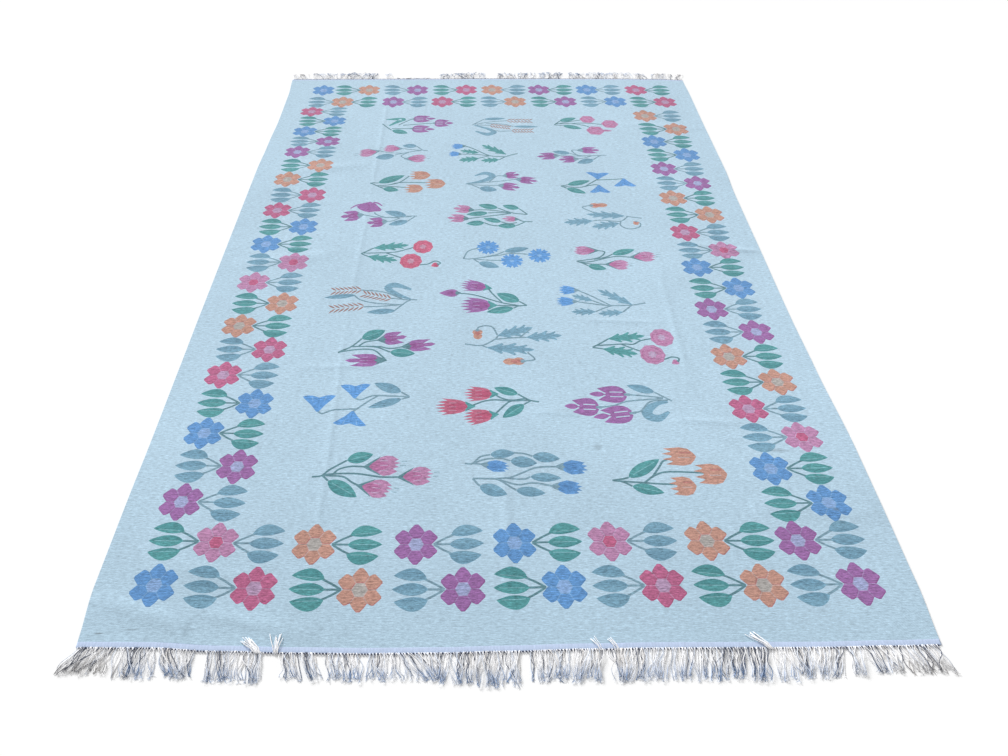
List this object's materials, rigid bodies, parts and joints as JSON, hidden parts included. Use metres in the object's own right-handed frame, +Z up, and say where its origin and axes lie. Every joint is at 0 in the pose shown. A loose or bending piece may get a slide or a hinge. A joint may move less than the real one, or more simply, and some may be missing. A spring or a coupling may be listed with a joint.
{
  "type": "flatweave rug",
  "caption": "Flat-woven rectangular wool floor rug with a flower and leaf border, scattered flower sprigs and a knotted warp fringe at both ends.",
  "frame": {"origin": "middle of the rug's underside, on the floor", "axes": "+X across the rug, +Y along the rug towards the far end, +Z up"},
  "size_m": [1.8419, 2.8984, 0.003],
  "materials": {
    "wool_cloth": "matte flat weave, pale blue ground with coloured flowers and leaves",
    "warp_fringe": "matte twisted warp ends, off-white with blue-grey tips"
  },
  "bodies": {
    "root": {"woven_cloth": "wool_cloth", "fringe_near": "warp_fringe", "fringe_far": "warp_fringe"}
  },
  "joints": []
}
